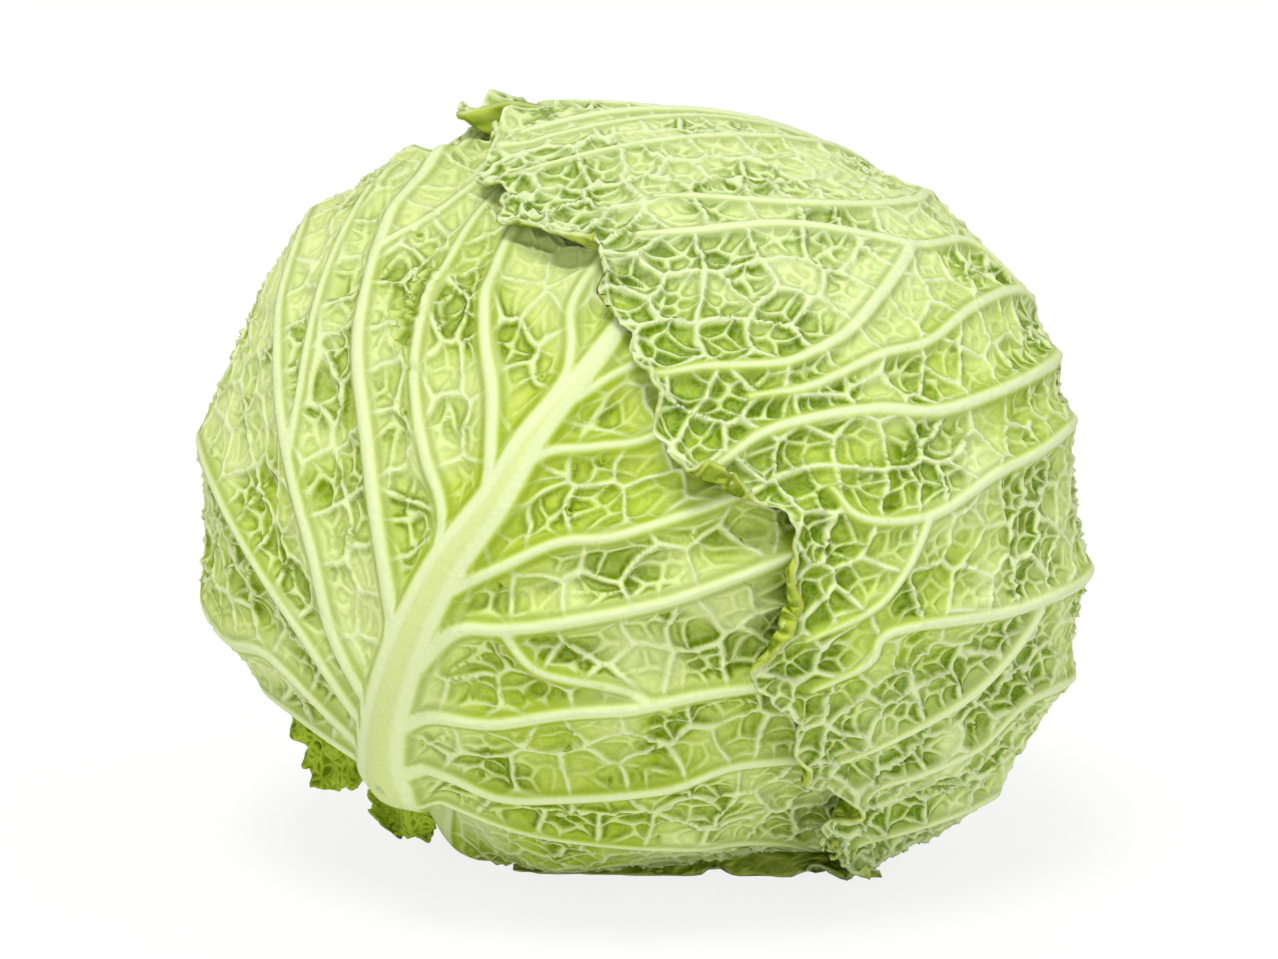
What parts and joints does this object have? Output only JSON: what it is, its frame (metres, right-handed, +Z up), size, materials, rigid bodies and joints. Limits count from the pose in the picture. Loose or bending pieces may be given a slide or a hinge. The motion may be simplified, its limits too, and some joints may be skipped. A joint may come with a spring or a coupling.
{
  "type": "savoy cabbage",
  "caption": "Round savoy cabbage head of crinkled, net-veined wrapper leaves over nested inner leaves, lying on its side on a small flat spot, stem end down.",
  "frame": {"origin": "on the resting surface, under the middle of the head's box", "axes": "+Z up, +X to the right of the side where the rib of the front leaf shows, -Y towards that side"},
  "size_m": [0.1976, 0.1908, 0.1691],
  "materials": {
    "outer_leaf": "crinkled pale green leaf with cream veins, satin",
    "dark_leaf": "blistered dark green leaf, satin",
    "inner_leaf": "pale yellow-green inner leaf",
    "stem": "cut stalk, matt, slightly dried"
  },
  "bodies": {
    "root": {"stem": "stem", "heart": "inner_leaf", "inner_leaf_01": "inner_leaf", "inner_leaf_02": "inner_leaf", "inner_leaf_03": "inner_leaf", "inner_leaf_04": "inner_leaf", "inner_leaf_05": "inner_leaf", "inner_leaf_06": "inner_leaf", "inner_leaf_07": "inner_leaf", "inner_leaf_08": "inner_leaf", "inner_leaf_09": "inner_leaf", "inner_leaf_10": "inner_leaf", "over_leaf": "outer_leaf", "front_leaf": "outer_leaf", "back_leaf": "outer_leaf", "under_leaf": "outer_leaf", "torn_leaf_side": "dark_leaf", "torn_leaf_base": "dark_leaf"}
  },
  "joints": []
}
